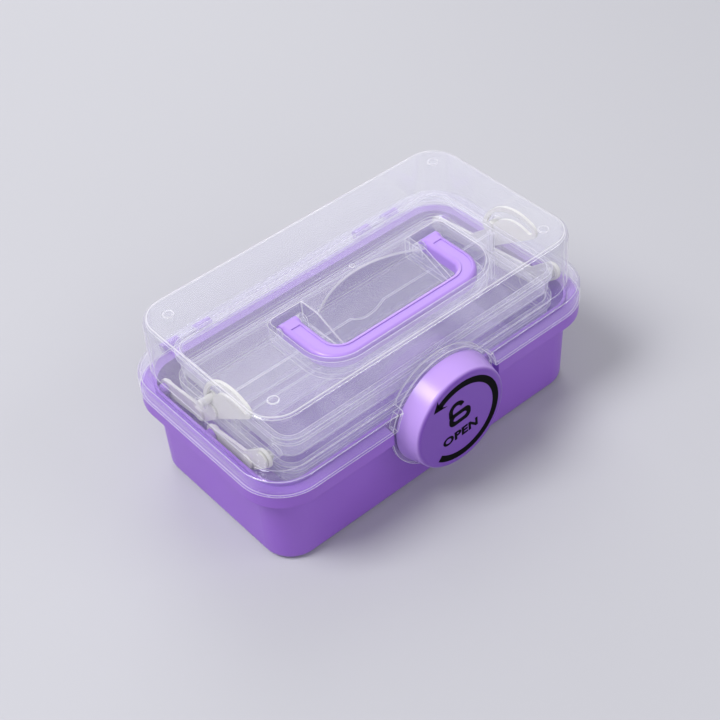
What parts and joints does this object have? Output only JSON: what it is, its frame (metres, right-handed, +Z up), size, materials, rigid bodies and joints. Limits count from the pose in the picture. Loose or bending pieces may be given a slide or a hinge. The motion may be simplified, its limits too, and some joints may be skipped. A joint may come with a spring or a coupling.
{
  "type": "craft storage box",
  "caption": "Clear-lidded carry box with a turn lock, a folding handle in the lid and two trays that swing out on crank arms as the lid opens.",
  "frame": {"origin": "centre of the tub's flat underside, on the ground", "axes": "+X along the length, to the right of someone facing the lock; +Y to the rear, where the hinge is; +Z up"},
  "size_m": [0.26, 0.167, 0.119],
  "materials": {
    "violet": "moulded, satin gloss",
    "lilac": "moulded, satin gloss",
    "clear_lid": "clear, polished",
    "clear_tray": "clear, lightly frosted",
    "arm_white": "moulded, satin",
    "steel": "bright"
  },
  "bodies": {
    "tub_body": {"tub": "violet", "hinge_pins": "steel", "tub_pivot_pins": "arm_white"},
    "lid_body": {"lid": "clear_lid", "lid_cam_pins": "arm_white", "handle_pins": "clear_lid"},
    "handle_body": {"handle": "lilac"},
    "lock_body": {"lock_knob": "lilac", "lock_cam": "violet", "lock_screw": "steel"},
    "rear_arm_left": {"rear_arm_left": "arm_white"},
    "rear_arm_right": {"rear_arm_right": "arm_white"},
    "front_arm_left": {"front_arm_left": "arm_white"},
    "front_arm_right": {"front_arm_right": "arm_white"},
    "lower_tray_body": {"lower_tray": "clear_tray", "lower_tray_divider": "clear_tray", "lower_tray_pins": "arm_white"},
    "upper_tray_body": {"upper_tray": "clear_tray", "upper_tray_divider": "clear_tray", "upper_tray_pins": "arm_white"}
  },
  "joints": [
    {"name": "lid_hinge", "type": "hinge", "parent": "tub_body", "child": "lid_body", "pos_m": [0, 0.078, 0.0665], "axis": [-1, 0, 0], "range_deg": [0, 92]},
    {"name": "rear_arm_left_pivot", "type": "hinge", "parent": "tub_body", "child": "rear_arm_left", "pos_m": [-0.1113, 0.052, 0.062], "axis": [-1, 0, 0], "range_deg": [0, 96.1]},
    {"name": "rear_arm_right_pivot", "type": "hinge", "parent": "tub_body", "child": "rear_arm_right", "pos_m": [0.1113, 0.052, 0.062], "axis": [-1, 0, 0], "range_deg": [0, 96.1]},
    {"name": "front_arm_left_pivot", "type": "hinge", "parent": "tub_body", "child": "front_arm_left", "pos_m": [-0.1141, 0.002, 0.062], "axis": [-1, 0, 0], "range_deg": [0, 96.1]},
    {"name": "front_arm_right_pivot", "type": "hinge", "parent": "tub_body", "child": "front_arm_right", "pos_m": [0.1141, 0.002, 0.062], "axis": [-1, 0, 0], "range_deg": [0, 96.1]},
    {"name": "lower_tray_swing", "type": "hinge", "parent": "rear_arm_left", "child": "lower_tray_body", "pos_m": [-0.1113, 0.018, 0.066], "axis": [1, 0, 0], "range_deg": [0, 96.1]},
    {"name": "upper_tray_swing", "type": "hinge", "parent": "rear_arm_left", "child": "upper_tray_body", "pos_m": [-0.1113, 0.002, 0.08], "axis": [1, 0, 0], "range_deg": [0, 96.1]},
    {"name": "handle_fold", "type": "hinge", "parent": "lid_body", "child": "handle_body", "pos_m": [0, -0.0012, 0.1096], "axis": [-1, 0, 0], "range_deg": [0, 90]},
    {"name": "lock_turn", "type": "hinge", "parent": "lid_body", "child": "lock_body", "pos_m": [0, -0.0687, 0.0572], "axis": [0, -1, 0], "range_deg": [-70, 0]}
  ],
  "couplings": [
    {"joint": "rear_arm_left_pivot", "follows": "lid_hinge", "ratio": 1.0435},
    {"joint": "rear_arm_right_pivot", "follows": "lid_hinge", "ratio": 1.0435},
    {"joint": "front_arm_left_pivot", "follows": "lid_hinge", "ratio": 1.0435},
    {"joint": "front_arm_right_pivot", "follows": "lid_hinge", "ratio": 1.0435},
    {"joint": "lower_tray_swing", "follows": "lid_hinge", "ratio": 1.0435},
    {"joint": "upper_tray_swing", "follows": "lid_hinge", "ratio": 1.0435}
  ]
}
